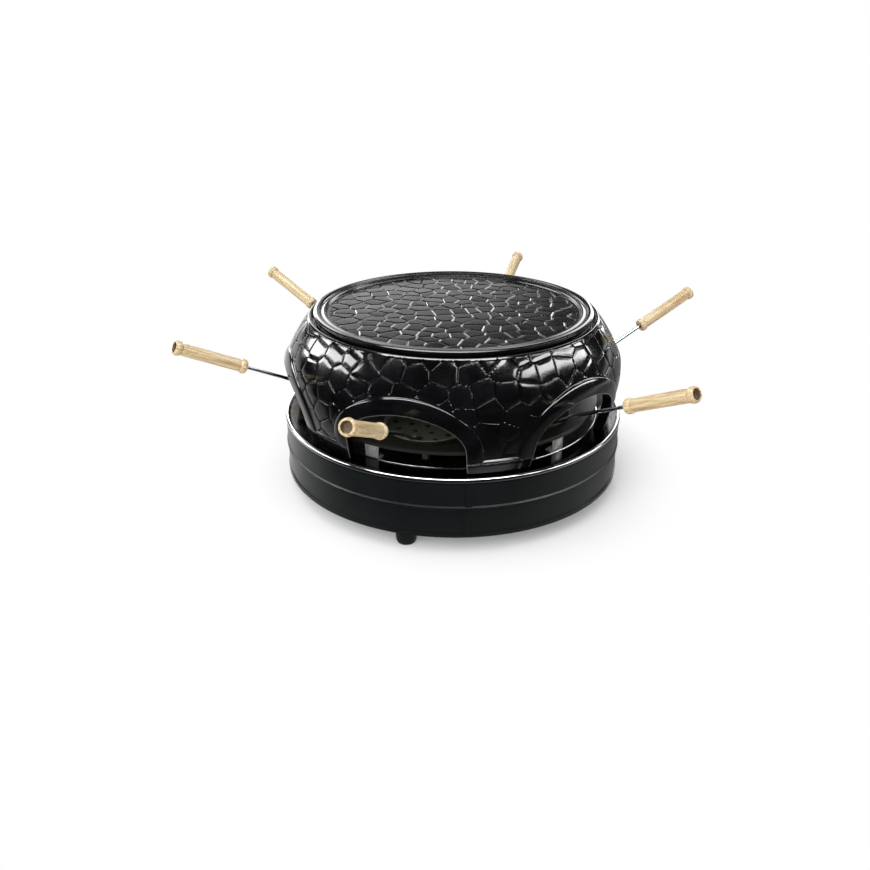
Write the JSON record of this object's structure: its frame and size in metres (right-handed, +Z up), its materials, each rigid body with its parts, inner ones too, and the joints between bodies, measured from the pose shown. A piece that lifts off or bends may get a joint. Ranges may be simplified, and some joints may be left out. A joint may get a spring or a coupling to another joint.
{
  "type": "electric pizza oven",
  "caption": "Round table-top electric pizza oven: heated drum base, lift-off arched dome with a grill plate on top, and wood-handled pizza spatulas.",
  "frame": {"origin": "on the worktop, under the drum's axis, at the level of the four feet", "axes": "+Z up along the drum's axis; -Y towards the arch over foot 1; +Y towards the cord gland"},
  "size_m": [0.5627, 0.6331, 0.2021],
  "materials": {
    "painted_drum": "matt charcoal powder coat",
    "polished_steel": "polished stainless sheet",
    "zinc_sheet": "zinc plated sheet",
    "steel_screw": "zinc plated",
    "black_rubber": "moulded",
    "black_plastic": "moulded",
    "red_rocker": "translucent moulded",
    "element_sheath": "oxidised",
    "sheet_steel": "bright",
    "plate_coating": "non-stick coating",
    "ceramic_block": "glazed",
    "wire_sleeve": "woven glass sleeve",
    "dome_glaze": "gloss black glaze",
    "grill_coating": "satin non-stick coating",
    "foot_plastic": "moulded",
    "pan_coating": "non-stick coating",
    "chrome_rod": "polished chrome plate",
    "beech": "turned and oiled"
  },
  "bodies": {
    "base": {"base_shell": "painted_drum", "rim_ring": "polished_steel", "bottom_cover": "zinc_sheet", "foot_1": "foot_plastic", "foot_2": "foot_plastic", "foot_3": "foot_plastic", "foot_4": "foot_plastic", "foot_screws": "steel_screw", "foot_nuts": "steel_screw", "cover_tabs": "zinc_sheet", "cover_screws": "steel_screw", "cord_gland": "black_rubber", "switch_housing": "black_plastic", "drip_tray": "polished_steel", "lower_element": "element_sheath", "lower_cradles": "sheet_steel", "baking_plate": "plate_coating", "plate_leg_1": "sheet_steel", "plate_leg_2": "sheet_steel", "plate_leg_3": "sheet_steel", "plate_leg_4": "sheet_steel", "plate_leg_5": "sheet_steel", "heater_column": "sheet_steel", "upper_bracket": "sheet_steel", "upper_element": "element_sheath", "terminal_block": "ceramic_block", "thermostat": "sheet_steel", "thermal_fuse": "ceramic_block", "wiring_loom": "wire_sleeve"},
    "hood": {"dome": "dome_glaze"},
    "grill": {"grill_plate": "grill_coating"},
    "rocker": {"switch_rocker": "red_rocker"},
    "spatula_1": {"pan_1": "pan_coating", "rod_1": "chrome_rod", "handle_1": "beech"},
    "spatula_2": {"pan_2": "pan_coating", "rod_2": "chrome_rod", "handle_2": "beech"},
    "spatula_3": {"pan_3": "pan_coating", "rod_3": "chrome_rod", "handle_3": "beech"},
    "spatula_4": {"pan_4": "pan_coating", "rod_4": "chrome_rod", "handle_4": "beech"},
    "spatula_5": {"pan_5": "pan_coating", "rod_5": "chrome_rod", "handle_5": "beech"},
    "spatula_6": {"pan_6": "pan_coating", "rod_6": "chrome_rod", "handle_6": "beech"}
  },
  "joints": [
    {"name": "hood_lift", "type": "slide", "parent": "base", "child": "hood", "axis": [0, 0, 1], "range_m": [0, 0.15]},
    {"name": "grill_plate_lift", "type": "slide", "parent": "hood", "child": "grill", "axis": [0, 0, 1], "range_m": [0, 0.06]},
    {"name": "spatula_1_slide", "type": "slide", "parent": "base", "child": "spatula_1", "axis": [-0.0349, -0.9994, 0], "range_m": [0, 0.16]},
    {"name": "spatula_2_slide", "type": "slide", "parent": "base", "child": "spatula_2", "axis": [0.8241, -0.5664, 0], "range_m": [0, 0.16]},
    {"name": "spatula_3_slide", "type": "slide", "parent": "base", "child": "spatula_3", "axis": [0.766, 0.6428, 0], "range_m": [0, 0.16]},
    {"name": "spatula_4_slide", "type": "slide", "parent": "base", "child": "spatula_4", "axis": [0.1045, 0.9945, 0], "range_m": [0, 0.16]},
    {"name": "spatula_5_slide", "type": "slide", "parent": "base", "child": "spatula_5", "axis": [-0.9563, 0.2924, 0], "range_m": [0, 0.16]},
    {"name": "spatula_6_slide", "type": "slide", "parent": "base", "child": "spatula_6", "axis": [-0.6626, -0.749, 0], "range_m": [0, 0.16]},
    {"name": "switch_rock", "type": "hinge", "parent": "base", "child": "rocker", "pos_m": [0.07192, 0.17802, 0.03525], "axis": [-0.9272, 0.3746, 0], "range_deg": [-16, 0]}
  ]
}
